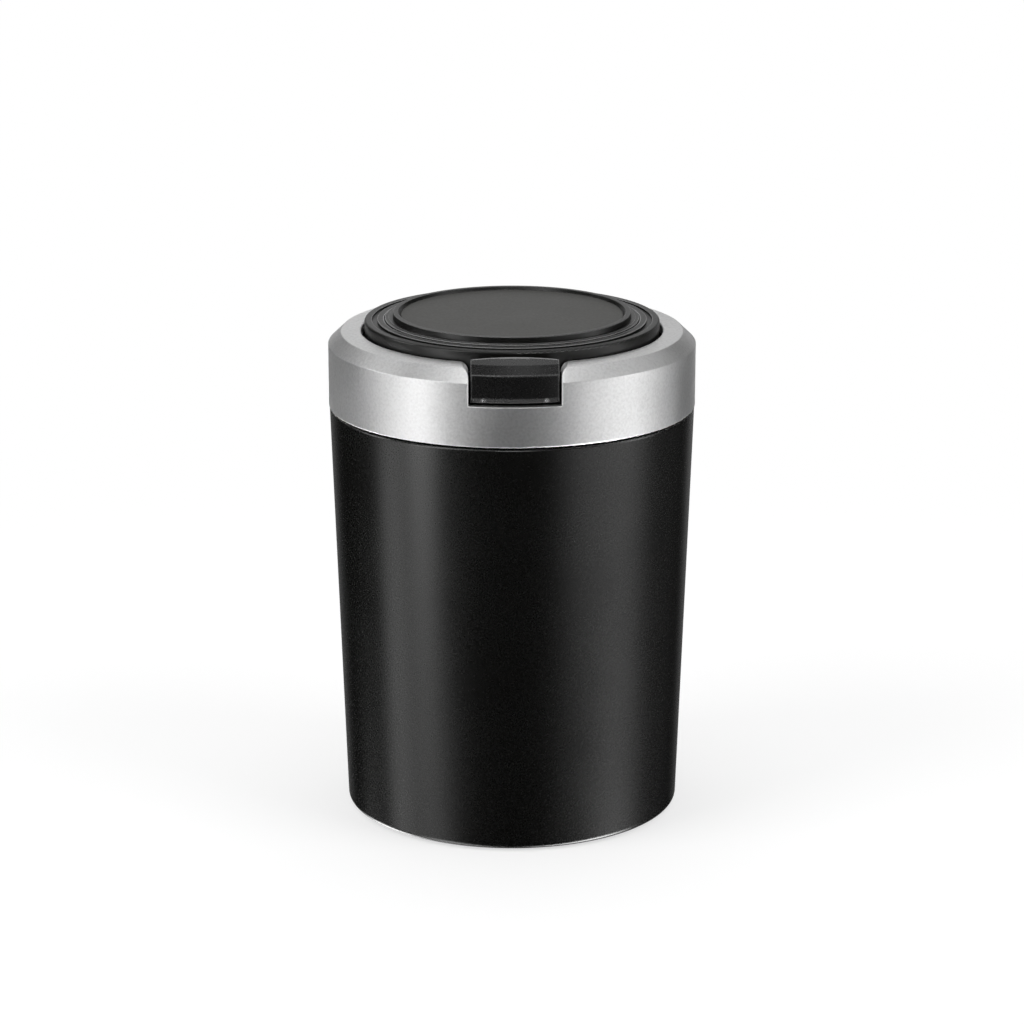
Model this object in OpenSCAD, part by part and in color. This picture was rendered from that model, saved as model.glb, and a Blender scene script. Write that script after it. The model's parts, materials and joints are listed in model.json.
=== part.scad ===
// Car ashtray for a cup holder: tapered cup, twist-off head, push button and sprung lid.
// Millimetres. Z is up, the button faces -Y, the hinge is at +Y.
// The origin is the centre of the face that the cup stands on.

/* [Cup] */
// Height of the cup's shoulder above the surface it stands on
cup_h = 88.4; // [70:0.2:120]
// How much smaller the cup's radius is at the foot than at the shoulder
cup_taper = 3.05; // [0:0.05:5]
// Wall of the cup
cup_wall = 2.0; // [1.6:0.1:3]
// Thickness of the cup's floor
cup_floor = 3.0; // [2.4:0.1:4]
// Rounding at the cup's foot
foot_round = 1.2; // [1:0.1:4]
// Rounding at the cup's shoulder
shoulder_round = 0.4; // [0.2:0.1:0.6]
// Wall of the cup outside the neck ring
rebate_t = 1.45; // [1.2:0.05:1.8]
// How far the pad stands out below the cup
pad_proud = 0.4; // [0.2:0.1:1]
// Thickness of the pad
pad_t = 1.6; // [1.2:0.1:2]
// Width of the cup's floor outside the pad
pad_margin = 5.3; // [4:0.1:8]

/* [Neck and bayonet] */
// Height of the neck above the shoulder
neck_h = 4.6; // [4:0.1:8]
// Wall of the neck
neck_wall = 1.9; // [1.4:0.1:2.5]
// How deep the neck ring sits in the cup
neck_seat = 4.4; // [3:0.1:8]
// Number of bayonet lugs
lug_count = 3; // [2:1:4]
// Angle that each lug covers
lug_angle = 32; // [20:1:36]
// How far a lug stands out
lug_depth = 1.3; // [1:0.1:1.6]
// Thickness of a lug
lug_t = 1.4; // [1:0.1:1.6]
// Angle that each stop covers
stop_angle = 5; // [3:0.5:8]
// Thickness of the neck's shoulder
web_t = 1.8; // [1.2:0.1:2.4]

/* [Liner and pad] */
// Wall of the ash liner
liner_wall = 0.7; // [0.5:0.1:1.5]
// How much smaller the liner's radius is at its floor than at its mouth
liner_taper = 2.0; // [1:0.1:4]
// Air space under the liner
liner_lift = 2.6; // [1:0.1:6]
// Rounding at the liner's floor
liner_round = 4.0; // [2:0.5:8]
// Distance between the rings moulded under the pad
groove_pitch = 5; // [3:0.5:6]
// Width of each groove under the pad
groove_w = 0.8; // [0.4:0.1:1.2]
// Depth of each groove under the pad
groove_d = 0.5; // [0.2:0.1:0.8]

/* [Head] */
// Outer radius of the collar
collar_r = 39.1; // [34:0.1:48]
// Wall of the collar
collar_wall = 1.8; // [1.4:0.1:2.4]
// Thickness of the collar's flat top
collar_top_t = 1.9; // [1.5:0.1:2.5]
// Width of the collar seen from above, from its mouth to its side
rim_w = 7.1; // [6.5:0.1:9]
// Width of the chamfer on the collar
collar_chamfer = 2.7; // [1.5:0.1:3.2]
// Height of the collar's top above the face that the lid seats on
collar_rise = 3.4; // [3:0.1:5]
// Rounding of the notch's upper corners
notch_round = 2.0; // [0.5:0.1:3]
// Rounding along the collar's chamfer
chamfer_round = 0.3; // [0.1:0.05:1]
// Wall of the moulded head ring
ring_wall = 1.5; // [1.2:0.1:2]
// Thickness of the head ring's floor
ring_floor = 1.5; // [1.2:0.1:2.5]
// Height of the space for the mechanism, between the floor and the bezel
mech_h = 3.6; // [3.4:0.1:5]
// Thickness of the bezel
bezel_t = 1.2; // [1:0.1:2]
// Width of the bezel's seat, from the lid's side to the mouth
seat_w = 6.15; // [5.5:0.05:8]
// Wall of the tube round the mouth
tube_t = 1.2; // [1:0.1:1.6]
// Thickness of the ribs in the head ring
rib_t = 1.0; // [0.8:0.1:1.4]

/* [Stub insert] */
// Radius of each stubbing hole
stub_r = 4.5; // [4:0.1:6]
// Length of each stubbing tube
stub_len = 12; // [8:0.5:20]
// Distance between the stubbing holes
stub_pitch = 15; // [13:0.5:20]
// Depth of the insert's wall
insert_h = 13; // [10:0.5:18]
// Radius of the cigarette rests
rest_r = 4.1; // [3.5:0.1:5]
// Length of each cigarette rest
rest_l = 5.5; // [4:0.1:7]
// Wall of the insert and of its tubes
insert_wall = 1.2; // [1:0.1:1.6]
// Thickness of the bar across the insert
bar_t = 2.0; // [1.5:0.1:3]
// Height of the bar's edge ribs, and of the tubes, above the bar's underside
bar_rib_h = 4; // [3:0.5:6]

/* [Button] */
// Width of the button
button_w = 18.05; // [14:0.05:24]
// Height of the button's front face
button_face_h = 4.84; // [4:0.02:7]
// Width of the sloping bevel at the button's foot
button_bevel = 0.55; // [0.3:0.05:1]
// Height of the sloping bevel at the button's foot
bevel_h = 0.96; // [0.6:0.02:1.4]
// Width of the sloping band behind the button's front edge
band_w = 2.55; // [1.5:0.05:3]
// Rise of that band
band_h = 1.6; // [1:0.05:2]
// Height of the button's rear edge above its front edge
top_h = 2.9; // [2:0.05:3.2]
// Wall of the button
button_wall = 1.3; // [1:0.1:1.8]
// Gap between the button and the collar on each side
button_side = 0.475; // [0.35:0.025:0.7]
// Gap under the button
button_foot_gap = 0.65; // [0.3:0.05:0.8]
// Rounding of the upright edges of the button's face
face_round = 0.35; // [0.1:0.05:0.6]
// Length of the slot in the button's top
grip_l = 5.8; // [4:0.1:8]
// Width of that slot
grip_w = 0.7; // [0.4:0.1:1]
// Depth of that slot
grip_d = 0.55; // [0.3:0.05:0.8]
// Travel of the button
button_travel = 1.2; // [0.8:0.1:1.4]
// Distance from the middle to each guide pin
guide_x = 6.4; // [5.6:0.1:6.8]
// Radius of the guide pins
guide_r = 0.35; // [0.3:0.05:0.4]

/* [Lid] */
// Clearance between the lid's side and the collar
lid_gap = 0.65; // [0.4:0.05:1]
// Height of the lid's side
lid_side_h = 5.2; // [4.6:0.1:7]
// Wall of the lid
lid_wall = 1.6; // [1.2:0.1:2]
// Height of the plateau's crest above the outermost ring
plateau_h = 1.65; // [1:0.05:2.5]
// Width between the lid's side and the plateau
step_w = 6.1; // [5.6:0.1:8]
// Width of the outermost ring
ring1_w = 1.6; // [1.2:0.05:2]
// Distance from the lid's side to the second ring
ring2_in = 2.75; // [2.4:0.05:3]
// Width of the second ring
ring2_w = 1.6; // [1.2:0.05:2]
// Depth of the channel between the first two rings
channel_d = 0.4; // [0.2:0.05:0.6]
// Width of the fine groove between the second and third rings
fine_w = 0.25; // [0.15:0.05:0.4]
// Depth of that groove
fine_d = 0.3; // [0.2:0.05:0.5]
// Width of the plateau's crest
crest_w = 1.1; // [0.8:0.05:1.6]
// Width of the slope from the crest in to the disc
crest_slope = 0.45; // [0.2:0.05:0.8]
// Thickness of the disc in the middle
disc_t = 1.0; // [0.8:0.1:1.5]
// Depth of the disc below the crest
disc_sink = 0.6; // [0.3:0.05:1]
// Thickness of the lid liner
lid_liner_t = 1.0; // [0.8:0.1:1.5]

/* [Hinge] */
// Radius of the hinge pin
pin_r = 1.0; // [0.8:0.1:1.2]
// Distance from the lid's side back to the hinge axis
hinge_back = 2.35; // [2.3:0.05:2.6]
// Height of the hinge axis above the face that the lid seats on
hinge_up = 1.0; // [0.8:0.05:1.2]
// Radius of the lid's knuckles
knuckle_r = 2.1; // [1.8:0.1:2.2]
// Thickness of each knuckle and ear
ear_t = 2.1; // [1.6:0.1:2.4]
// Width between the knuckles, where the springs are
spring_bay = 11; // [9:0.1:12]

/* [Catch] */
// Width of the catch tongue
catch_w = 9; // [6:0.1:9.5]
// Thickness of the catch tongue
catch_t = 0.8; // [0.6:0.1:1]
// How far the barb reaches under the bezel
catch_bite = 0.65; // [0.4:0.05:0.8]

/* [Springs and screws] */
// Wire radius of the button's springs
button_wire = 0.13; // [0.1:0.01:0.15]
// Turns of each button spring
button_turns = 4; // [3:1:4]
// Wire radius of the hinge springs
hinge_wire = 0.25; // [0.2:0.01:0.3]
// Turns of each hinge spring
hinge_turns = 5; // [3:1:6]
// Shank radius of the larger screws
screw_r = 0.75; // [0.6:0.05:0.9]
// Shank radius of the smaller screws
small_screw_r = 0.6; // [0.5:0.05:0.7]

/* [Fits] */
// Radial clearance between pieces that are pushed together
push_fit = 0.1; // [0.05:0.05:0.2]
// Clearance between pieces that move past each other
slide_fit = 0.3; // [0.3:0.05:0.5]
// Radial running clearance round a pin
run_fit = 0.06; // [0.03:0.01:0.1]
// Radial clearance where a pin or screw is held
hold_fit = 0.02; // [0.01:0.01:0.04]

/* [Hidden] */
$fn = 96;

BLACK = [0.07, 0.07, 0.075];
SILVER = [0.78, 0.79, 0.80];
GREY = [0.33, 0.33, 0.32];
STEEL = [0.62, 0.63, 0.65];
RUBBER = [0.12, 0.12, 0.12];
LINER = [0.30, 0.27, 0.24];

// How far the forms that make up one piece reach into each other
lap = 0.1;
// How far a cut runs past the surface that it cuts
over = 1;

// Levels, from the ground up
floor_top = pad_proud + cup_floor;
neck_top = cup_h + neck_h;
flange_top = neck_top + liner_wall;
collar_gap = 0.4;
collar_foot = cup_h + collar_gap;
rim_gap = 1.6;
ring_z = flange_top + rim_gap;
mech_z = ring_z + ring_floor;
bezel_z = mech_z + mech_h;
shelf_z = bezel_z - 1.2;
seat_z = bezel_z + bezel_t;
collar_z = seat_z + collar_rise;
flange_z = collar_z - collar_top_t;
lid_z = seat_z + slide_fit + 0.05;
ring1_z = lid_z + lid_side_h;
crest_z = ring1_z + plateau_h;
disc_z = crest_z - disc_sink;
ceiling_z = disc_z - disc_t - lid_wall;
liner_z = lid_z + 0.35;
liner_top_z = liner_z + lid_liner_t;
hinge_z = seat_z + hinge_up;
liner_foot = floor_top + liner_lift;

// Radii, from the collar inwards
cup_r = collar_r - 0.15;
rebate_r = cup_r - rebate_t;
foot_r = cup_r - cup_taper;
skirt_r = collar_r - collar_wall - push_fit;
skirt_in = skirt_r - ring_wall;
lug_r = skirt_in - slide_fit;
neck_r = lug_r - lug_depth;
neck_in = neck_r - neck_wall;
liner_r = neck_in - slide_fit;
mouth_r = collar_r - rim_w;
lid_r = mouth_r - lid_gap;
tube_in = lid_r - seat_w;
tube_r = tube_in + tube_t;
pad_r = foot_r - pad_margin;
plateau_r = lid_r - step_w;
disc_r = plateau_r - crest_w - crest_slope;
hinge_y = lid_r + hinge_back;
lug_foot = collar_foot + slide_fit;
upper_lug_z = lug_foot + lug_t + slide_fit;

// The front notch and the button
notch_w = button_w + 2 * button_side;
notch_z = mech_z + 0.55;
button_z = notch_z + button_foot_gap;
button_r = collar_r - 0.55;
button_edge_z = button_z + bevel_h + button_face_h;
button_top_z = button_edge_z + top_h;
button_back = lid_r + 0.65 + button_travel;
front_w = button_w + 0.7;
guide_z = button_z + bevel_h / 2 + 0.02;
post_back = button_back - 1.6;
post_front = post_back + 1.8;
post_w = 2.2;
post_h = mech_h - 0.2;
button_in = button_r - 1.65;
spring_front = button_in - 0.95;

// The bezel's shelf, which reaches into the hollow of the button and hides the springs
shelf_w = button_w - 2 * button_wall - 2 * slide_fit;
shelf_y = button_in - button_travel - 1.2;

// The catch: its tongue, the barb and the slot that it goes through
keeper_y = lid_r - 0.9;
tongue_y = keeper_y - 0.25;
barb_y = keeper_y + catch_bite;
catch_foot = mech_z + 0.2;
nose_y = barb_y + 0.25;
catch_screw_y = tube_in - 2.2;
catch_screw_x = 2.6;

// The rear notch and the hinge
ear_x = spring_bay / 2 + ear_t + 0.3;
hinge_w = 2 * (ear_x + ear_t) + 0.3;
hinge_floor_z = hinge_z - knuckle_r - 0.6;
ear_r = knuckle_r + 0.5;

// Seals and screws
rim_seal_in = liner_r - liner_wall + 0.1;
rim_seal_out = rim_seal_in + 1.4;
lid_seal_in = tube_in + 0.9;
lid_seal_out = lid_seal_in + 1.6;
seal_groove = 0.5;
bezel_screw_r = tube_r + 2.5;
collar_screw_r = mouth_r + 2.2;
lid_screw_r = tube_in - 5.2;
screw_head_h = 0.8;
bezel_screw_angles = [45, 135, 225, 315];
collar_screw_angles = [30, 150, 210, 330];
lid_screw_angles = [45, 135, 225, 315];
rib_angles = [0, 15, 60, 120, 165, 180, 195, 240, 300, 345];

// Outlines with rounded corners. A point is [x, y, rounding], counter-clockwise.
function corner(points, i) =
    let (k = (i + len(points)) % len(points)) [points[k][0], points[k][1]];
function turn(points, i) = cross(
    corner(points, i) - corner(points, i - 1),
    corner(points, i + 1) - corner(points, i)
);

// The sliver between the corner p and an arc of radius r that touches both its sides.
// It spills a little over both sides, so that no edge of it lies along them.
module spandrel(p, a, b, r) {
    spill = 0.05;
    u = (a - p) / norm(a - p);
    v = (b - p) / norm(b - p);
    half = acos(u * v) / 2;
    centre = p + (u + v) / norm(u + v) * r / sin(half);
    touch_a = p + u * r / tan(half);
    touch_b = p + v * r / tan(half);
    out_a = (touch_a - centre) / r * spill;
    out_b = (touch_b - centre) / r * spill;
    difference() {
        polygon([centre, touch_a + out_a, p + out_a + out_b, touch_b + out_b]);
        translate(centre) circle(r);
    }
}

module corner_spandrel(points, i) {
    spandrel(corner(points, i), corner(points, i - 1), corner(points, i + 1), points[i][2]);
}

module rounded(points) {
    difference() {
        union() {
            polygon([for (i = [0 : len(points) - 1]) corner(points, i)]);
            for (i = [0 : len(points) - 1])
                if (points[i][2] > 0 && turn(points, i) < 0) corner_spandrel(points, i);
        }
        for (i = [0 : len(points) - 1])
            if (points[i][2] > 0 && turn(points, i) > 0) corner_spandrel(points, i);
    }
}

module ring(r_in, r_out, z0, z1) {
    rotate_extrude() translate([r_in, z0]) square([r_out - r_in, z1 - z0]);
}

// A flat shape in radius and Z, carried round the axis by an angle
module arc(angle) {
    rotate_extrude(angle = angle) children();
}

// A box from x0 to x1, y0 to y1 and z0 to z1
module block(x0, x1, y0, y1, z0, z1) {
    translate([x0, y0, z0]) cube([x1 - x0, y1 - y0, z1 - z0]);
}

// A flat shape in Y and Z, carried along X from x0 to x1
module across(x0, x1) {
    translate([x0, 0, 0]) rotate([90, 0, 90]) linear_extrude(x1 - x0) children();
}

// The children at each of the angles, at radius r from the axis
module around(angles, r = 0) {
    for (a = angles) rotate(a) translate([r, 0, 0]) children();
}

// The slot that a notch cuts out of the collar, with its upper corners flared
module notch_cut(width, foot_z, round_r) {
    w = width / 2;
    rotate([90, 0, 0]) linear_extrude(collar_r + 1) {
        translate([-w, foot_z]) square([width, collar_z + 1 - foot_z]);
        spandrel([w, collar_z], [w + 2 * round_r, collar_z], [w, foot_z], round_r);
        spandrel([-w, collar_z], [-w - 2 * round_r, collar_z], [-w, foot_z], round_r);
    }
}

// A pan-head screw, its head at the origin and its shank along +Z, with a cross recess
module screw(length, r) {
    head_r = screw_head_r(r);
    point_r = 0.15;
    recess_w = 0.3;
    recess_l = 1.2 * head_r;
    recess_d = 0.4;
    difference() {
        rotate_extrude() rounded([
            [0, 0, 0], [head_r, 0, 0.3], [head_r, screw_head_h, 0], [r, screw_head_h, 0],
            [r, length - r, 0], [point_r, length, 0], [0, length, 0]
        ]);
        for (a = [0, 90]) rotate(a)
            block(-recess_l / 2, recess_l / 2, -recess_w / 2, recess_w / 2, -over, recess_d);
    }
}

function screw_head_r(r) = 2 * r + 0.1;

// Wire: rings of points round a coil on the Z axis. Each ring is [angle, distance along the leg, z].
function wire_ring(coil_r, wire_r, at, sides) = [
    for (k = [0 : sides - 1])
        let (b = 360 * k / sides, r = coil_r + wire_r * cos(b))
        [r * cos(at[0]) - at[1] * sin(at[0]), r * sin(at[0]) + at[1] * cos(at[0]), at[2] + wire_r * sin(b)]
];

module wire(coil_r, wire_r, stations, sides = 6) {
    points = [for (at = stations) each wire_ring(coil_r, wire_r, at, sides)];
    last = len(stations) - 1;
    walls = [
        for (i = [0 : last - 1], k = [0 : sides - 1])
            let (m = (k + 1) % sides)
            [i * sides + k, (i + 1) * sides + k, (i + 1) * sides + m, i * sides + m]
    ];
    first_cap = [for (k = [0 : sides - 1]) k];
    last_cap = [for (k = [sides - 1 : -1 : 0]) last * sides + k];
    polyhedron(points, concat(walls, [first_cap, last_cap]), convexity = 10);
}

// The stations of a coil: turns round the axis from angle a0, rising by height
function coil(a0, turns, height, per_turn = 14) =
    let (n = ceil(turns * per_turn))
    [for (i = [0 : n]) [a0 + 360 * turns * i / n, 0, height * i / n]];

module outer_cup() {
    inner_top = cup_r - cup_wall;
    inner_foot = inner_top - cup_taper;
    inner_round = 1.5;
    color(BLACK) difference() {
        rotate_extrude() difference() {
            rounded([
                [0, pad_proud, 0], [foot_r, pad_proud, foot_round],
                [cup_r, cup_h, shoulder_round], [0, cup_h, 0]
            ]);
            rounded([
                [-over, floor_top, 0], [inner_foot, floor_top, inner_round],
                [inner_top, cup_h + over, 0], [-over, cup_h + over, 0]
            ]);
        }
        translate([0, 0, -over]) cylinder(h = over + pad_t, r = pad_r + push_fit);
        translate([0, 0, cup_h - neck_seat]) cylinder(h = neck_seat + over, r = rebate_r);
    }
}

module neck_ring() {
    ring_r = rebate_r - push_fit / 2;
    ring_in = ring_r - ring_wall;
    foot_z = cup_h - neck_seat;
    shoulder_z = cup_h - 0.4;
    web_z = shoulder_z - web_t;
    color(BLACK) union() {
        rotate_extrude() rounded([
            [ring_in, foot_z, 0], [ring_r, foot_z, 0], [ring_r, shoulder_z, 0], [neck_r, shoulder_z, 0.4],
            [neck_r, neck_top, 0.3], [neck_in, neck_top, 0.3], [neck_in, web_z, 0.5], [ring_in, web_z, 0.5]
        ]);
        around(lug_angles()) bayonet_lug(neck_r - lap, lug_r, upper_lug_z);
        around(lug_angles()) lug_stop();
    }
}

function lug_angles() = [for (i = [0 : lug_count - 1]) 90 + 360 * i / lug_count];

// A lug between two radii, its middle on the X axis
module bayonet_lug(r_in, r_out, z) {
    rotate(-lug_angle / 2) arc(lug_angle) translate([r_in, z]) square([r_out - r_in, lug_t]);
}

// The stop at the end of a neck lug, which ends the turn that locks the head
module lug_stop() {
    gap_angle = 1.2;
    depth = lug_depth + lap;
    rotate(-lug_angle / 2 - gap_angle - stop_angle) {
        arc(stop_angle + gap_angle) translate([neck_r - lap, upper_lug_z]) square([depth, lug_t]);
        arc(stop_angle) translate([neck_r - lap, lug_foot]) square([depth, upper_lug_z - lug_foot + lap]);
    }
}

module base_pad() {
    edge_margin = 3;
    color(RUBBER) difference() {
        rotate_extrude() rounded([[0, 0, 0], [pad_r, 0, 0.4], [pad_r, pad_t, 0], [0, pad_t, 0]]);
        for (r = [groove_pitch : groove_pitch : pad_r - edge_margin])
            ring(r - groove_w / 2, r + groove_w / 2, -over, groove_d);
    }
}

module ash_liner() {
    foot = liner_r - liner_taper;
    flange_r = neck_r - 0.2;
    floor_z = liner_foot + liner_wall;
    color(STEEL) rotate_extrude() difference() {
        rounded([
            [0, liner_foot, 0], [foot, liner_foot, liner_round], [liner_r, neck_top, 0],
            [flange_r, neck_top, 0], [flange_r, flange_top, 0.3], [0, flange_top, 0]
        ]);
        rounded([
            [-over, floor_z, 0], [foot - liner_wall, floor_z, liner_round - liner_wall],
            [liner_r - liner_wall, flange_top + over, 0], [-over, flange_top + over, 0]
        ]);
    }
}

module head_ring() {
    color(BLACK) difference() {
        union() {
            difference() {
                ring_shell();
                front_opening();
            }
            around(lug_angles()) bayonet_lug(neck_r + slide_fit, skirt_in + lap, lug_foot);
            around(rib_angles) ring_rib();
            for (x = [-guide_x, guide_x]) guide_post(x);
            for (side = [-1, 1]) hinge_ear(side);
        }
        rear_opening();
        rim_seal_groove();
        for (x = [-guide_x, guide_x]) guide_bore(x, post_back - over, post_front + over, guide_r + run_fit);
        hinge_bore(pin_r + hold_fit);
        around(bezel_screw_angles, bezel_screw_r) screw_hole(screw_r);
        around(collar_screw_angles, collar_screw_r) screw_hole(small_screw_r);
    }
}

// The head ring's skirt, its floor and the tube round the mouth
module ring_shell() {
    ring(skirt_in, skirt_r, lug_foot - lap, flange_z - push_fit);
    ring(tube_in, skirt_in + lap, ring_z, mech_z);
    ring(tube_in, tube_r, ring_z, shelf_z);
}

// A stiffening rib in the head ring's channel
module ring_rib() {
    block(tube_r - lap, skirt_in + lap, -rib_t / 2, rib_t / 2, mech_z - lap, bezel_z - 0.9);
}

module guide_post(x) {
    block(x - post_w / 2, x + post_w / 2, -post_front, -post_back, mech_z - lap, mech_z + post_h);
}

// A bore along Y at a guide pin, between two distances from the middle
module guide_bore(x, back, front, r) {
    translate([x, -back, guide_z]) rotate([90, 0, 0]) cylinder(h = front - back, r = r);
}

// The bore along the hinge axis
module hinge_bore(r) {
    half = ear_x + ear_t + over;
    translate([-half, hinge_y, hinge_z]) rotate([0, 90, 0]) cylinder(h = 2 * half, r = r);
}

module hinge_ear(side) {
    x0 = side > 0 ? ear_x : -ear_x - ear_t;
    foot_z = mech_z - lap;
    across(x0, x0 + ear_t) {
        translate([hinge_y, hinge_z]) circle(ear_r);
        translate([hinge_y - ear_r, foot_z]) square([2 * ear_r, hinge_z - foot_z]);
    }
}

// Where the button comes through the head ring's outer wall
module front_opening() {
    w = front_w / 2;
    block(-w, w, -collar_r, -tube_r - 4, notch_z - 0.15, collar_z);
}

// Where the lid's knuckles turn, above the head ring's outer wall
module rear_opening() {
    outer = ear_x + ear_t;
    slit = 0.4;
    block(-ear_x, ear_x, tube_r + over, collar_r, hinge_floor_z, collar_z);
    for (x = [-outer - slit, outer]) block(x, x + slit, tube_r + over, collar_r, hinge_floor_z, collar_z);
}

module rim_seal_groove() {
    ring(rim_seal_in - push_fit, rim_seal_out + push_fit, ring_z - over, ring_z + seal_groove);
}

// A hole through the head ring's floor with a seat for a screw's head
module screw_hole(r) {
    translate([0, 0, ring_z - over]) {
        cylinder(h = ring_floor + 2 * over, r = r + push_fit);
        cylinder(h = over + screw_head_h, r = screw_head_r(r) + push_fit);
    }
}

module rim_seal() {
    foot_z = flange_top + 0.15;
    color(RUBBER) rotate_extrude() rounded([
        [rim_seal_in, foot_z, 0.5], [rim_seal_out, foot_z, 0.5],
        [rim_seal_out, ring_z + seal_groove, 0], [rim_seal_in, ring_z + seal_groove, 0]
    ]);
}

module stub_insert() {
    wall_r = tube_in - slide_fit;
    inner = wall_r - insert_wall;
    flange_r = tube_r - 0.1;
    top = bezel_z - push_fit;
    foot = shelf_z - insert_h;
    tube_z = foot + bar_rib_h - stub_len;
    outer = stub_r + insert_wall;
    color(BLACK) difference() {
        union() {
            rotate_extrude() rounded([
                [inner, foot, 0.3], [wall_r, foot, 0.3], [wall_r, shelf_z, 0], [flange_r, shelf_z, 0],
                [flange_r, top, 0.3], [inner, top, 0.5]
            ]);
            intersection() {
                insert_bar(wall_r, foot);
                translate([0, 0, foot - over]) cylinder(h = insert_h + 2 * over, r = inner + 2 * lap);
            }
            for (x = [-stub_pitch / 2, stub_pitch / 2]) translate([x, 0, tube_z])
                rotate_extrude() rounded([
                    [0, 0, 0], [outer, 0, 0.3], [outer, stub_len, 0.3], [0, stub_len, 0]
                ]);
        }
        for (x = [-stub_pitch / 2, stub_pitch / 2]) translate([x, 0, tube_z - over])
            cylinder(h = stub_len + 2 * over, r = stub_r);
    }
}

// The bar across the insert, with a rib along each edge and a rest at each end
module insert_bar(length, foot) {
    half = stub_r + 1.9;
    rib = 1;
    block(-length, length, -half, half, foot, foot + bar_t);
    for (y = [-half, half - rib]) block(-length, length, y, y + rib, foot, foot + bar_rib_h);
    for (side = [0, 1]) mirror([side, 0, 0]) rest_block(length - insert_wall, foot, shelf_z - 1);
}

// A block at the end of the bar with a groove that a cigarette lies in
module rest_block(inner, foot, top) {
    half = rest_r + 1.4;
    difference() {
        block(inner - rest_l, inner + lap, -half, half, foot, top);
        translate([inner - rest_l - over, 0, top + 0.6]) rotate([0, 90, 0])
            cylinder(h = rest_l + 2 * over, r = rest_r);
    }
}

module seat_bezel() {
    upstand_in = mouth_r + 0.1;
    upstand_r = mouth_r + 1;
    upstand_z = flange_z - push_fit;
    boss_r = 2.1;
    color(BLACK) difference() {
        union() {
            rotate_extrude() rounded([
                [tube_in, bezel_z, 0], [upstand_r, bezel_z, 0], [upstand_r, upstand_z, 0],
                [upstand_in, upstand_z, 0], [upstand_in, seat_z, 0.4], [tube_in, seat_z, 0.5]
            ]);
            around(bezel_screw_angles, bezel_screw_r) translate([0, 0, mech_z + push_fit])
                cylinder(h = mech_h, r = boss_r);
            block(-shelf_w / 2, shelf_w / 2, -shelf_y, -mouth_r, bezel_z, seat_z);
        }
        around(bezel_screw_angles, bezel_screw_r) translate([0, 0, mech_z - over])
            cylinder(h = mech_h + over + 0.4, r = screw_r + hold_fit);
        bezel_cuts();
    }
}

// Room for the button's sides, for the catch and for the hinge
module bezel_cuts() {
    slot = catch_w / 2 + 0.4;
    slot_d = 1.9;
    for (side = [0, 1]) mirror([side, 0, 0])
        block(shelf_w / 2, front_w / 2 + lap, -collar_r, -barb_y - 0.5, bezel_z - over, collar_z);
    block(-slot, slot, -keeper_y, -keeper_y + slot_d, bezel_z - over, collar_z);
    block(-hinge_w / 2, hinge_w / 2, lid_r - 1.8, collar_r, bezel_z - over, collar_z);
}

module collar() {
    side_in = collar_r - collar_wall;
    fall = 0.25;
    edge_z = collar_z - fall;
    chamfer_h = collar_chamfer * 0.96;
    boss_r = 1.15;
    color(SILVER) difference() {
        union() {
            rotate_extrude() rounded([
                [side_in, collar_foot, 0], [collar_r, collar_foot, 0.3],
                [collar_r, edge_z - chamfer_h, chamfer_round],
                [collar_r - collar_chamfer, edge_z, chamfer_round], [mouth_r, collar_z, 0.4],
                [mouth_r, flange_z, 0], [side_in, flange_z, 0.5]
            ]);
            around(collar_screw_angles, collar_screw_r) translate([0, 0, mech_z + slide_fit])
                cylinder(h = flange_z - mech_z, r = boss_r);
        }
        around(collar_screw_angles, collar_screw_r) translate([0, 0, mech_z])
            cylinder(h = flange_z - mech_z - 0.6, r = small_screw_r + hold_fit);
        notch_cut(notch_w, notch_z, notch_round);
        rotate(180) notch_cut(hinge_w, hinge_floor_z, notch_round);
    }
}

module bezel_screws() {
    color(STEEL) around(bezel_screw_angles, bezel_screw_r) translate([0, 0, ring_z])
        screw(ring_floor + mech_h - 0.4, screw_r);
}

module collar_screws() {
    color(STEEL) around(collar_screw_angles, collar_screw_r) translate([0, 0, ring_z])
        screw(ring_floor + mech_h + 1.6, small_screw_r);
}

// The button's section in radius and height
module button_section() {
    rounded([
        [button_back - 8, button_z, 0], [button_r - button_bevel, button_z, 0],
        [button_r, button_z + bevel_h, 0.1], [button_r, button_edge_z, 0.25],
        [button_r - band_w, button_edge_z + band_h, 0.3], [button_back - 0.6, button_top_z, 0],
        [button_back - 8, button_top_z, 0]
    ]);
}

// The hollow in the button's back, in radius and height
module button_hollow() {
    polygon([
        [button_back - 9, button_z - over], [button_in, button_z - over], [button_in, button_edge_z - 0.6],
        [button_r - band_w - 0.65, button_edge_z + band_h - button_wall],
        [button_back - 9, button_top_z - button_wall - 0.3]
    ]);
}

module push_button() {
    half = button_w / 2;
    inside = half - button_wall + 0.1;
    top = button_top_z + over;
    nose = 3.8;
    color(BLACK) difference() {
        union() {
            difference() {
                intersection() {
                    rotate_extrude() button_section();
                    linear_extrude(top) button_plan(half);
                }
                intersection() {
                    rotate_extrude() button_hollow();
                    block(-inside, inside, -collar_r, 0, 0, top);
                }
            }
            block(-nose, nose, -button_in - 0.4, -nose_y, button_z + 0.4, bezel_z - 0.4);
            for (x = [-guide_x, guide_x]) pin_boss(x);
        }
        for (x = [-guide_x, guide_x]) guide_bore(x, post_front, collar_r + over, guide_r + hold_fit);
        grip_slot();
    }
}

// The button's outline from above, with the upright edges of its face rounded
module button_plan(half) {
    reach = 3;
    corner_y = -sqrt(pow(button_r, 2) - pow(half, 2));
    along = [-corner_y, half] / button_r * reach;
    difference() {
        translate([-half, -collar_r]) square([2 * half, collar_r - button_back]);
        for (side = [-1, 1]) spandrel(
            [side * half, corner_y], [side * half, corner_y + reach],
            [side * (half - along[0]), corner_y - along[1]], face_round
        );
    }
}

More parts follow.
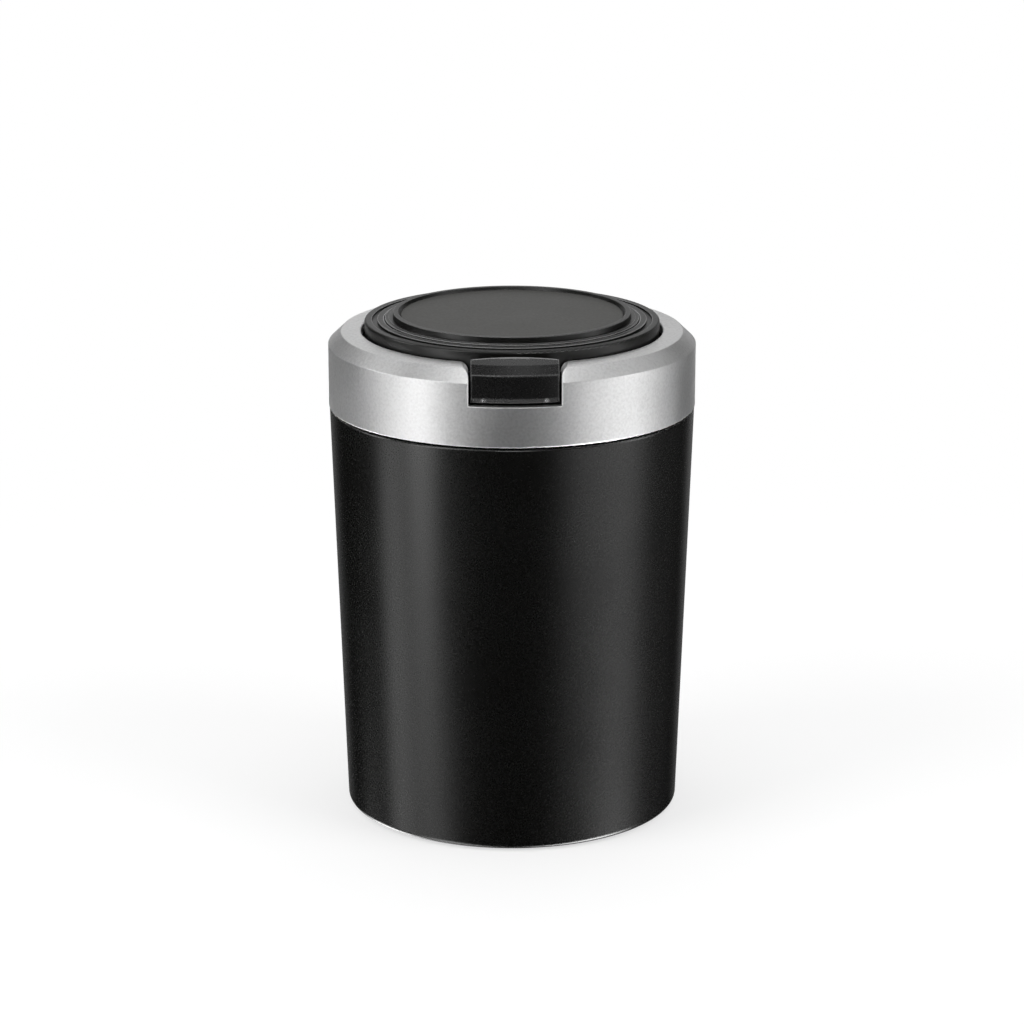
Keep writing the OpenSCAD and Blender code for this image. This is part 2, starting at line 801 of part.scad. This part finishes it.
// The boss behind the button's face that holds a guide pin
module pin_boss(x) {
    block(x - 1, x + 1, -button_in - 2 * lap, -button_in + 0.9, button_z, guide_z + 1.1);
}

// The shallow slot in the button's top
module grip_slot() {
    y = button_back + 0.4;
    block(-grip_l / 2, grip_l / 2, -y - grip_w, -y, button_top_z - grip_d, button_top_z + over);
}

// A headed steel pin, which slides in a post of the head ring. Its domed end shows below the button's face.
module guide_pin(x) {
    head_r = 0.95;
    head_t = 0.5;
    head_back = post_back - 0.1 - head_t;
    tip = button_r - 0.05 - pin_dip();
    length = tip - head_back;
    color(STEEL) translate([x, -head_back, guide_z]) rotate([90, 0, 0]) rotate_extrude() rounded([
        [0, 0, 0], [head_r, 0, 0.15], [head_r, head_t, 0], [guide_r, head_t, 0],
        [guide_r, length, guide_r * 0.8], [0, length, 0]
    ]);
}

// How much further back the button's curved face lies at the pins than in the middle
function pin_dip() = button_r - sqrt(pow(button_r, 2) - pow(guide_x, 2));

module guide_pin_left() { guide_pin(-guide_x); }
module guide_pin_right() { guide_pin(guide_x); }

module button_spring(x) {
    coil_r = guide_r + 0.35;
    length = spring_front - post_front - 2 * button_wire;
    color(STEEL) translate([x, -spring_front + button_wire, guide_z]) rotate([-90, 0, 0])
        wire(coil_r, button_wire, coil(0, button_turns, length));
}

module button_spring_left() { button_spring(-guide_x); }
module button_spring_right() { button_spring(guide_x); }

module lid_cap() {
    color(BLACK) difference() {
        union() {
            rotate_extrude() lid_section();
            around(lid_screw_angles, lid_screw_r) cap_boss(liner_top_z, 2);
            for (x = [-catch_screw_x, catch_screw_x]) translate([x, -catch_screw_y, 0])
                cap_boss(liner_top_z + catch_t, 1.5);
            for (side = [-1, 1]) hinge_arm(side);
        }
        around(lid_screw_angles, lid_screw_r) pilot_hole(screw_r);
        for (x = [-catch_screw_x, catch_screw_x]) translate([x, -catch_screw_y, 0])
            pilot_hole(small_screw_r);
        catch_relief();
        hinge_bore(pin_r + run_fit);
    }
}

// The lid's section in radius and height: the rings step up to the plateau and its crest
module lid_section() {
    shell_in = lid_r - lid_wall;
    channel_z = ring1_z - channel_d;
    ring2_r = lid_r - ring2_in;
    ring2_z = ring1_z + 0.15;
    groove_r = ring2_r - ring2_w + fine_w;
    ring3_r = ring2_r - ring2_w;
    ring3_z = ring1_z + 0.4;
    step_r = ring3_r - 0.75;
    step_z = ring3_z + 0.07;
    rounded([
        [0, ceiling_z, 0], [shell_in, ceiling_z, 0.5], [shell_in, lid_z, 0], [lid_r, lid_z, 0.2],
        [lid_r, ring1_z, 0.4], [lid_r - ring1_w + 0.05, ring1_z, 0.1], [lid_r - ring1_w, channel_z, 0],
        [ring2_r, channel_z, 0], [ring2_r, ring2_z, 0.1], [groove_r, ring2_z, 0.05],
        [groove_r, ring2_z - fine_d, 0], [ring3_r, ring2_z - fine_d, 0], [ring3_r, ring3_z, 0.1],
        [step_r, ring3_z, 0], [step_r - 0.05, step_z, 0], [plateau_r + 0.1, step_z, 0],
        [plateau_r, crest_z, 0.15], [plateau_r - crest_w, crest_z, 0.2], [disc_r, disc_z, 0],
        [disc_r, disc_z - disc_t, 0], [0, disc_z - disc_t, 0]
    ]);
}

// A boss that hangs from the lid's ceiling and takes a screw
module cap_boss(foot_z, r) {
    translate([0, 0, foot_z]) cylinder(h = ceiling_z - foot_z + lap, r = r);
}

module pilot_hole(r) {
    translate([0, 0, lid_z]) cylinder(h = ceiling_z - lid_z + 1, r = r + hold_fit);
}

// Room in the lid's wall for the catch
module catch_relief() {
    w = catch_w / 2 + 0.2;
    block(-w, w, -tongue_y - 0.2, -tongue_y + 2, lid_z - over, liner_top_z + catch_t + push_fit);
}

// A knuckle and the arm that joins it to the lid
module hinge_arm(side) {
    x0 = side > 0 ? spring_bay / 2 : -spring_bay / 2 - ear_t;
    root_y = lid_r - lid_wall + lap;
    across(x0, x0 + ear_t) {
        translate([hinge_y, hinge_z]) circle(knuckle_r);
        translate([root_y, hinge_z]) square([hinge_y - root_y, knuckle_r]);
    }
}

module lid_disc() {
    edge_r = disc_r - push_fit / 2;
    color(GREY) rotate_extrude() rounded([
        [0, disc_z - disc_t, 0], [edge_r, disc_z - disc_t, 0], [edge_r, disc_z, 0.15], [0, disc_z, 0]
    ]);
}

module lid_liner() {
    edge_r = lid_r - lid_wall - push_fit;
    relief = catch_w / 2 + 0.3;
    boss_r = 10;
    boss_h = 0.5;
    depth = lid_liner_t + 2 * over;
    color(LINER) difference() {
        union() {
            translate([0, 0, liner_z]) cylinder(h = lid_liner_t, r = edge_r);
            translate([0, 0, liner_z - boss_h]) cylinder(h = boss_h + lap, r = boss_r);
        }
        ring(lid_seal_in - push_fit, lid_seal_out + push_fit, liner_z - over, liner_z + seal_groove);
        block(-relief, relief, -lid_r, -tongue_y + catch_t + 0.3, liner_z - over, liner_top_z + over);
        around(lid_screw_angles, lid_screw_r) translate([0, 0, liner_z - over])
            cylinder(h = depth, r = screw_r + push_fit);
        for (x = [-catch_screw_x, catch_screw_x]) translate([x, -catch_screw_y, liner_z - over])
            cylinder(h = depth, r = small_screw_r + push_fit);
    }
}

module lid_seal() {
    foot_z = seat_z + 0.1;
    color(RUBBER) rotate_extrude() rounded([
        [lid_seal_in, foot_z, 0.4], [lid_seal_out, foot_z, 0.4],
        [lid_seal_out, liner_z + seal_groove, 0], [lid_seal_in, liner_z + seal_groove, 0]
    ]);
}

module lid_screws() {
    color(STEEL) around(lid_screw_angles, lid_screw_r) translate([0, 0, liner_z - screw_head_h])
        screw(screw_head_h + ceiling_z - liner_z + 0.6, screw_r);
}

// A spring-steel tongue with a barb that hooks under the bezel
module lid_catch() {
    w = catch_w / 2;
    barb_w = w - 0.7;
    root_y = catch_screw_y - 1.4;
    color(STEEL) union() {
        difference() {
            block(-w, w, -tongue_y, -root_y, liner_top_z, liner_top_z + catch_t);
            for (x = [-catch_screw_x, catch_screw_x]) translate([x, -catch_screw_y, liner_top_z - over])
                cylinder(h = catch_t + 2 * over, r = small_screw_r + push_fit);
        }
        block(-w, w, -tongue_y, -tongue_y + catch_t, catch_foot, liner_top_z + lap);
        across(-barb_w, barb_w) polygon([
            [-tongue_y + lap, catch_foot], [-tongue_y, catch_foot], [-barb_y, bezel_z - 1.4],
            [-barb_y, bezel_z - 0.2], [-tongue_y + lap, bezel_z - 0.2]
        ]);
    }
}

module catch_screws() {
    color(STEEL) for (x = [-catch_screw_x, catch_screw_x])
        translate([x, -catch_screw_y, liner_z - screw_head_h])
            screw(screw_head_h + ceiling_z - liner_z + 0.4, small_screw_r);
}

module hinge_pin() {
    half = ear_x + ear_t;
    color(STEEL) translate([-half, hinge_y, hinge_z]) rotate([0, 90, 0]) rotate_extrude() rounded([
        [0, 0, 0], [pin_r, 0, 0.25], [pin_r, 2 * half, 0.25], [0, 2 * half, 0]
    ]);
}

// A torsion spring. Its lower leg presses up on the lid's foot, its other leg on the head ring.
module hinge_spring() {
    coil_r = pin_r + 0.2 + hinge_wire;
    length = spring_bay / 2 - 1 - 2 * hinge_wire;
    lid_leg = hinge_y - lid_r + 1.2;
    ring_leg = hinge_z - mech_z - 0.1;
    turns = hinge_turns - 0.25;
    stations = concat(
        [[-90, -lid_leg, 0]],
        coil(-90, turns, length),
        [[-90 + 360 * turns, ring_leg, length]]
    );
    color(STEEL) translate([spring_bay / 2 - 0.5 - hinge_wire, hinge_y, hinge_z]) mirror([1, 0, 0])
        rotate([90, 0, 90]) wire(coil_r, hinge_wire, stations);
}

module hinge_spring_right() { hinge_spring(); }
module hinge_spring_left() { mirror([1, 0, 0]) hinge_spring(); }

outer_cup();
neck_ring();
base_pad();
ash_liner();
head_ring();
rim_seal();
stub_insert();
seat_bezel();
collar();
bezel_screws();
collar_screws();
push_button();
guide_pin_left();
guide_pin_right();
button_spring_left();
button_spring_right();
lid_cap();
lid_disc();
lid_liner();
lid_seal();
lid_screws();
lid_catch();
catch_screws();
hinge_pin();
hinge_spring_left();
hinge_spring_right();
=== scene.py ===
"""Car ashtray with a push-button lid, in its studio: looks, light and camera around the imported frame."""
import json
import math

import bmesh
import bpy
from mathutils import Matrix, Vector

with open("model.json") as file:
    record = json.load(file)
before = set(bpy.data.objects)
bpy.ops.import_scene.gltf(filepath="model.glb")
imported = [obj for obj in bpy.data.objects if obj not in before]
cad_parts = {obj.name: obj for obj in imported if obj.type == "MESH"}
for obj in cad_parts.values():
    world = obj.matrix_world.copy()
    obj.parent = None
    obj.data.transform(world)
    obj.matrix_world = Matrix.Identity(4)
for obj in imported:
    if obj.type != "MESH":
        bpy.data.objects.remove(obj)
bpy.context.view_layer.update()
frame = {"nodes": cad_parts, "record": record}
NODES = frame["nodes"]

MM = 0.001


# Camera, fitted to the photograph, with its angles in degrees
IMAGE_PX = 1024
FOCAL_PX = 3477
SENSOR_MM = 36.0
CAMERA_DISTANCE = 722 * MM
CAMERA_HEIGHT = 269.7 * MM
CAMERA_PITCH = 15.88
CAMERA_SIDE = 0.95


def make_camera():
    """The photograph's view: a long lens that looks down at the front, a little from the left."""
    data = bpy.data.cameras.new("camera")
    data.sensor_width = SENSOR_MM
    data.lens = FOCAL_PX / IMAGE_PX * SENSOR_MM
    cam = bpy.data.objects.new("camera", data)
    bpy.context.scene.collection.objects.link(cam)
    side = math.radians(CAMERA_SIDE)
    cam.location = (-CAMERA_DISTANCE * math.sin(side), -CAMERA_DISTANCE * math.cos(side), CAMERA_HEIGHT)
    cam.rotation_euler = (math.radians(90 - CAMERA_PITCH), 0, -side)
    bpy.context.scene.camera = cam


# Shader helpers
class Shader:
    """A node tree with short calls. A value may be a number, a colour or another node's socket."""

    # The Mix node's sockets for colours, which share their names with those for numbers
    MIX_FACTOR, MIX_A, MIX_B, MIX_RESULT = 0, 6, 7, 2

    def __init__(self, tree):
        self.tree = tree
        tree.nodes.clear()

    def node(self, kind, inputs=None, **settings):
        """Makes a node. The inputs are given by name or number."""
        made = self.tree.nodes.new("ShaderNode" + kind)
        for name, value in settings.items():
            setattr(made, name, value)
        for name, value in (inputs or {}).items():
            socket = made.inputs[name]
            if isinstance(value, bpy.types.NodeSocket):
                self.tree.links.new(value, socket)
            else:
                socket.default_value = value
        return made

    def math(self, operation, *values):
        return self.node("Math", dict(enumerate(values)), operation=operation).outputs[0]

    def remap(self, value, low, high, to_low, to_high, smooth=False):
        """Goes from to_low to to_high while the value goes from low to high, and no further."""
        inputs = {"Value": value, "From Min": low, "From Max": high, "To Min": to_low, "To Max": to_high}
        style = "SMOOTHSTEP" if smooth else "LINEAR"
        return self.node("MapRange", inputs, interpolation_type=style).outputs[0]

    def remap_mm(self, value, span, to_low, to_high):
        """The same for a length, over a span in millimetres."""
        low, high = span
        return self.remap(value, low * MM, high * MM, to_low, to_high)

    def noise(self, where, scale, detail=2.0, rough=0.5):
        inputs = {"Vector": where, "Scale": scale, "Detail": detail, "Roughness": rough}
        return self.node("TexNoise", inputs).outputs["Fac"]

    def place(self):
        """The frame's coordinates, because a CAD node's object sits at the origin."""
        return self.node("TexCoord").outputs["Object"]

    def stretched(self, scale):
        """The same, scaled so that a texture on them is drawn out where the scale is small."""
        return self.node("Mapping", {"Vector": self.place(), "Scale": scale}).outputs["Vector"]

    def mix_colour(self, factor, a, b):
        inputs = {self.MIX_FACTOR: factor, self.MIX_A: a, self.MIX_B: b}
        return self.node("Mix", inputs, data_type="RGBA").outputs[self.MIX_RESULT]


def rgba(r, g, b):
    return (r, g, b, 1.0)


def shaded(colour, factor):
    return rgba(*(c * factor for c in colour))


# Mottling: the speckle is this many times coarser than the grain, and the clouds are this many to the metre
SPECKLE_SIZE = 4
CLOUDS_PER_METRE = 60.0
SPECKLE_SHARE = 0.6
CLOUD_SHARE = 0.4
MOTTLE_LOW = 0.3
MOTTLE_HIGH = 0.7

BEVEL_SAMPLES = 4
HIGHLIGHT_SAMPLES = 12


def finish_material(name, colour, metallic, roughness, grain_mm, grain_depth, mottle=0.06, rough_swing=0.05,
                    edge_mm=0.12, stretch=(1, 1, 1), specular=0.5, painted_highlight=None):
    """A moulded or metal surface: fine grain in its bump, slow mottling of colour and roughness, and soft edges."""
    material = bpy.data.materials.new(name)
    material.use_nodes = True
    s = Shader(material.node_tree)
    where = s.stretched(stretch)
    grain = s.noise(where, 1 / (grain_mm * MM), detail=3.0, rough=0.6)
    speckle = s.noise(where, 1 / (SPECKLE_SIZE * grain_mm * MM), detail=2.0)
    cloud = s.noise(where, CLOUDS_PER_METRE, detail=3.0)
    blend = s.math("ADD", s.math("MULTIPLY", speckle, SPECKLE_SHARE), s.math("MULTIPLY", cloud, CLOUD_SHARE))
    tint = s.mix_colour(s.remap(blend, MOTTLE_LOW, MOTTLE_HIGH, 0.0, 1.0),
                        shaded(colour, 1 - mottle), shaded(colour, 1 + mottle))
    metal = metallic
    # Painted highlight: outer corners are mixed to a lighter grey, and metal loses its metalness there, to stand in
    # for the light caught on the edges.
    if painted_highlight:
        highlight_share = painted_highlight_mask(s, painted_highlight)
        tint = s.mix_colour(highlight_share, tint, rgba(painted_highlight["grey"], painted_highlight["grey"], painted_highlight["grey"]))
        if metallic:
            metal = s.remap(highlight_share, 0.0, 1.0, metallic, 0.0)
    rough = s.remap(blend, MOTTLE_LOW, MOTTLE_HIGH, roughness - rough_swing, roughness + rough_swing)
    soft_edge = s.node("Bevel", {"Radius": edge_mm * MM}, samples=BEVEL_SAMPLES).outputs[0]
    bump = s.node("Bump", {"Strength": 1.0, "Distance": grain_depth * MM, "Height": grain, "Normal": soft_edge})
    surface = s.node("BsdfPrincipled", {
        "Base Color": tint, "Metallic": metal, "Roughness": rough, "Normal": bump.outputs[0],
        "Specular IOR Level": specular,
    })
    s.node("OutputMaterial", {"Surface": surface.outputs[0]})
    return material


def painted_highlight_mask(s, painted_highlight):
    """1 on outer corners that get a painted highlight, a lighter grey, and 0 elsewhere. FINISHES says what the values
    mean.
    """
    corner = s.node("AmbientOcclusion", {"Distance": painted_highlight["mm"] * MM}, samples=HIGHLIGHT_SAMPLES, inside=True,
                    only_local=True)
    highlight_share = s.remap(corner.outputs["AO"], painted_highlight["full"], painted_highlight["none"], 1.0, 0.0, smooth=True)
    if "place" in painted_highlight:
        highlight_share = HIGHLIGHT_PLACES[painted_highlight["place"]](s, highlight_share)
    return highlight_share


# The spans over which the painted highlight on the collar's front notch comes and goes, in millimetres of the frame.
# Those across are measured to either side of the middle.
NOTCH_FOOT_TO_SIDE = (8.6, 9.2)
NOTCH_SIDE_TO_TOP = (10.6, 11.4)
NOTCH_CORNER_ACROSS = (9.8, 10.5)
NOTCH_CORNER_UP = (102.3, 103.4)
TOP_EDGE_ACROSS = (11.0, 19.0)
TOP_EDGE_UP = (103.6, 104.3)
FRONT_TO_SIDES = (-25, -20)

NOTCH_FOOT_SHARE = 0.25
NOTCH_CORNER_SHARE = 0.6
TOP_EDGE_FULL = 0.4


def notch_highlight(s, highlight_share):
    """Painted highlight on the upright edges and round upper corners of the collar's front notch, less along its
    foot, and on the top edge beside it."""
    x, y, z = s.node("SeparateXYZ", {0: s.place()}).outputs
    across = s.math("ABSOLUTE", x)
    side = s.remap_mm(across, NOTCH_FOOT_TO_SIDE, NOTCH_FOOT_SHARE, 1.0)
    round_corner = s.math("MULTIPLY", s.remap_mm(across, NOTCH_CORNER_ACROSS, NOTCH_CORNER_SHARE, 0.0),
                          s.remap_mm(z, NOTCH_CORNER_UP, 0.0, 1.0))
    notch = s.math("MULTIPLY", s.math("MAXIMUM", s.math("MULTIPLY", highlight_share, side), round_corner),
                   s.remap_mm(across, NOTCH_SIDE_TO_TOP, 1.0, 0.0))
    top = s.math("MULTIPLY", s.remap_mm(z, TOP_EDGE_UP, 0.0, 1.0), s.remap_mm(across, TOP_EDGE_ACROSS, 1.0, 0.0))
    top_edge = s.math("MULTIPLY", s.remap(highlight_share, 0.0, TOP_EDGE_FULL, 0.0, 1.0), top)
    in_front = s.remap_mm(y, FRONT_TO_SIDES, 1.0, 0.0)
    return s.math("MULTIPLY", s.math("MAXIMUM", notch, top_edge), in_front)


# Spans for the painted highlight on the button, in millimetres across from the middle, over which it falls from its
# long edges to the share left on its sides.
BUTTON_LONG_TO_SIDE = (8.5, 8.8)
BUTTON_SIDE_SHARE = 0.3


def button_highlight(s, highlight_share):
    """Painted highlight on the button's long edges, more than on its sides."""
    x = s.node("SeparateXYZ", {0: s.place()}).outputs["X"]
    return s.math("MULTIPLY", highlight_share, s.remap_mm(s.math("ABSOLUTE", x), BUTTON_LONG_TO_SIDE, 1.0, BUTTON_SIDE_SHARE))


HIGHLIGHT_PLACES = {"front_notch": notch_highlight, "button": button_highlight}


def dress(node, material):
    """Gives a CAD node its material."""
    mesh = NODES[node].data
    mesh.materials.clear()
    mesh.materials.append(material)


# One finish for each material slot of the record. Grain and edge sizes are in millimetres, and mottle and rough_swing
# say how far the colour and the roughness go up and down. Where outer corners get a painted highlight, a lighter grey
# in their colour that stands in for light caught on the edges, its entry gives how far in from a corner that reaches
# (mm), the grey it shows, the share of open directions inside the piece at which a corner is fully painted (full) and
# not at all (none), and the place, where it is only some of the corners.
FINISHES = {
    "cup_black": dict(colour=(0.0031, 0.0031, 0.0027), metallic=0, roughness=0.27, grain_mm=0.12, grain_depth=0.0012,
                      rough_swing=0.03, edge_mm=0.05, specular=0.95),
    "collar_silver": dict(colour=(0.95, 0.95, 0.95), metallic=1, roughness=0.45, grain_mm=0.14, grain_depth=0.004,
                          edge_mm=0.2, mottle=0.11,
                          painted_highlight=dict(mm=0.30, grey=0.60, full=0.72, none=0.95, place="front_notch")),
    "lid_black": dict(colour=(0.003, 0.003, 0.0025), metallic=0, roughness=0.34, grain_mm=0.12, grain_depth=0.002,
                      specular=0.54, edge_mm=0.05, painted_highlight=dict(mm=0.20, grey=0.38, full=0.72, none=0.90)),
    "button_black": dict(colour=(0.006, 0.006, 0.006), metallic=0, roughness=0.26, grain_mm=0.10, grain_depth=0.001,
                         specular=0.75, edge_mm=0.08,
                         painted_highlight=dict(mm=0.35, grey=0.15, full=0.78, none=0.97, place="button")),
    "disc_grey": dict(colour=(0.025, 0.025, 0.022), metallic=0, roughness=0.45, grain_mm=0.15, grain_depth=0.003),
    "inner_black": dict(colour=(0.020, 0.020, 0.020), metallic=0, roughness=0.50, grain_mm=0.20, grain_depth=0.004),
    "phenolic_black": dict(colour=(0.030, 0.027, 0.024), metallic=0, roughness=0.60, grain_mm=0.30, grain_depth=0.01),
    "liner_steel": dict(colour=(0.60, 0.60, 0.58), metallic=1, roughness=0.36, grain_mm=0.25, grain_depth=0.002,
                        stretch=(1, 1, 0.08)),
    "spring_steel": dict(colour=(0.66, 0.66, 0.67), metallic=1, roughness=0.25, grain_mm=0.20, grain_depth=0.001,
                         edge_mm=0.04),
    "seal_rubber": dict(colour=(0.018, 0.018, 0.018), metallic=0, roughness=0.75, grain_mm=0.35, grain_depth=0.012),
}


def dress_all():
    made = {slot: finish_material(slot, **values) for slot, values in FINISHES.items()}
    for part in frame["record"]["subparts"]:
        dress(part["node"], made[part["material_slot"]])


# The studio, with its lengths in metres and its angles in degrees
FLOOR_HALF = 4.0
FLOOR_GREY = 0.9
FLOOR_OWN_WHITE = 0.60
FLOOR_NEAR = 0.08
FLOOR_FAR = 0.32
AMBIENT = 0.45
WHITE = rgba(1, 1, 1)


def ray_mask(s):
    """1 for rays that see the background: from the camera, and from gloss and glass."""
    path = s.node("LightPath")
    seen = s.math("MAXIMUM", path.outputs["Is Camera Ray"], path.outputs["Is Glossy Ray"])
    return s.math("MAXIMUM", seen, path.outputs["Is Transmission Ray"])


def stage_object(name, mesh, material):
    made = bpy.data.objects.new(name, mesh)
    made.data.materials.append(material)
    bpy.context.scene.collection.objects.link(made)
    return made


def make_floor():
    """A plain white floor. Near the object it takes its shadow, and further out its white is its own."""
    mesh = bpy.data.meshes.new("floor")
    corners = [(-FLOOR_HALF, -FLOOR_HALF, 0), (FLOOR_HALF, -FLOOR_HALF, 0),
               (FLOOR_HALF, FLOOR_HALF, 0), (-FLOOR_HALF, FLOOR_HALF, 0)]
    mesh.from_pydata(corners, [], [(0, 1, 2, 3)])
    material = bpy.data.materials.new("floor_white")
    material.use_nodes = True
    s = Shader(material.node_tree)
    lit = s.node("BsdfDiffuse", {"Color": rgba(FLOOR_GREY, FLOOR_GREY, FLOOR_GREY)})
    white = s.node("Emission", {"Color": WHITE, "Strength": 1.0})
    distance = s.node("VectorMath", {0: s.node("NewGeometry").outputs["Position"]}, operation="LENGTH").outputs[1]
    own = s.remap(distance, FLOOR_NEAR, FLOOR_FAR, FLOOR_OWN_WHITE, 1.0, smooth=True)
    mix = s.node("MixShader", {0: s.math("MULTIPLY", ray_mask(s), own), 1: lit.outputs[0], 2: white.outputs[0]})
    s.node("OutputMaterial", {"Surface": mix.outputs[0]})
    floor = stage_object("floor", mesh, material)
    floor.visible_glossy = False


def make_world():
    """White where it is seen, and a soft grey as light."""
    world = bpy.data.worlds.new("studio")
    bpy.context.scene.world = world
    world.use_nodes = True
    s = Shader(world.node_tree)
    strength = s.remap(ray_mask(s), 0.0, 1.0, AMBIENT, 1.0)
    background = s.node("Background", {"Color": WHITE, "Strength": strength})
    s.node("OutputWorld", {"Surface": background.outputs[0]})


# The light round the object that only reflections see: soft panels on dark cloth, as round a product in a studio.
# Each panel is azimuth, elevation, half width and half height in degrees, and brightness. Azimuth 0 is at the
# camera's side, and elevation 90 is straight up. A panel is even over the inner PANEL_CORE of its half sizes, and
# fades out from there to its edge.
TENT_RADIUS = 6.0
PANEL_CORE = 0.3
TENT_PANELS = [
    (-12, 90, 40, 14, 4.5),
    (72, 90, 14, 45, 3.9),
    (-48, 76, 24, 45, 2.7),
    (12, 76, 14, 14, 4.5),
    (168, 62, 24, 45, 0.6),
    (-168, 48, 24, 26, 0.45),
    (-132, 48, 14, 14, 2.9),
    (132, 48, 14, 14, 1.5),
    (-180, 32, 14, 14, 0.75),
    (0, 32, 14, 14, 4.5),
    (84, 32, 14, 26, 2.3),
    (-96, 18, 14, 14, 4.5),
    (-48, 18, 14, 14, 4.5),
    (-180, 5, 14, 14, 0.55),
    (-168, 5, 24, 14, 0.3),
    (-60, 5, 14, 14, 1.5),
    (84, 5, 14, 14, 2.5),
    (156, 5, 14, 26, 0.3),
    (-180, -8, 40, 26, 0.2),
    (-60, -8, 14, 14, 2.7),
    (60, -8, 40, 14, 1.1),
    (-84, -20, 14, 14, 0.95),
    (108, -20, 40, 14, 0.05),
    (-144, -45, 40, 14, 3.3),
    (-132, -45, 24, 14, 3.3),
    (84, -45, 24, 14, 3.3),
    (-120, -65, 14, 45, 3.3),
    (-60, -65, 24, 45, 3.3),
    (72, -65, 24, 45, 2.1),
    (84, -65, 24, 45, 3.3),
    (84, -65, 24, 26, 3.3),
    (96, -65, 40, 26, 3.3),
]


def make_tent():
    """The large ball that carries the panels."""
    material = bpy.data.materials.new("light_tent")
    material.use_nodes = True
    s = Shader(material.node_tree)
    x, y, z = s.node("SeparateXYZ", {0: s.node("NewGeometry").outputs["Position"]}).outputs
    azimuth = s.math("DEGREES", s.math("ARCTAN2", x, s.math("MULTIPLY", y, -1.0)))
    radius = s.math("SQRT", s.math("ADD", s.math("MULTIPLY", x, x), s.math("MULTIPLY", y, y)))
    elevation = s.math("DEGREES", s.math("ARCTAN2", z, radius))
    bright = 0.0
    for turn, height, half_width, half_height, level in TENT_PANELS:
        aside = s.math("ABSOLUTE", s.math("WRAP", s.math("SUBTRACT", azimuth, turn), 180.0, -180.0))
        above = s.math("ABSOLUTE", s.math("SUBTRACT", elevation, height))
        across = s.remap(aside, PANEL_CORE * half_width, half_width, level, 0.0, smooth=True)
        along = s.remap(above, PANEL_CORE * half_height, half_height, 1.0, 0.0, smooth=True)
        bright = s.math("ADD", bright, s.math("MULTIPLY", across, along))
    glow = s.node("Emission", {"Color": WHITE, "Strength": bright})
    s.node("OutputMaterial", {"Surface": glow.outputs[0]})
    mesh = bpy.data.meshes.new("light_tent")
    ball = bmesh.new()
    bmesh.ops.create_uvsphere(ball, u_segments=64, v_segments=32, radius=TENT_RADIUS)
    ball.to_mesh(mesh)
    ball.free()
    tent = stage_object("light_tent", mesh, material)
    tent.visible_camera = tent.visible_diffuse = tent.visible_shadow = False
    tent.visible_transmission = tent.visible_volume_scatter = False


LAMP_TARGET = Vector((0, 0, 0.06))


def soft_lamp(name, azimuth, elevation, distance, size, watts):
    """A soft box that looks at the middle of the object. Azimuth 0 is at the camera's side."""
    data = bpy.data.lights.new(name, "AREA")
    data.shape = "RECTANGLE"
    data.size, data.size_y = size
    data.energy = watts
    lamp = bpy.data.objects.new(name, data)
    bpy.context.scene.collection.objects.link(lamp)
    a, e = math.radians(azimuth), math.radians(elevation)
    way = Vector((math.sin(a) * math.cos(e), -math.cos(a) * math.cos(e), math.sin(e)))
    lamp.location = LAMP_TARGET + way * distance
    lamp.rotation_euler = way.to_track_quat("Z", "Y").to_euler()
    lamp.visible_camera = lamp.visible_glossy = False


def make_lamps():
    soft_lamp("left_box", azimuth=-62, elevation=30, distance=0.9, size=(0.5, 0.9), watts=5.0)
    soft_lamp("right_box", azimuth=62, elevation=30, distance=0.9, size=(0.5, 0.9), watts=4.4)
    soft_lamp("top_box", azimuth=180, elevation=75, distance=1.1, size=(0.9, 0.9), watts=5.0)


make_camera()
dress_all()
make_floor()
make_world()
make_tent()
make_lamps()

bpy.context.scene.view_settings.view_transform = "Standard"
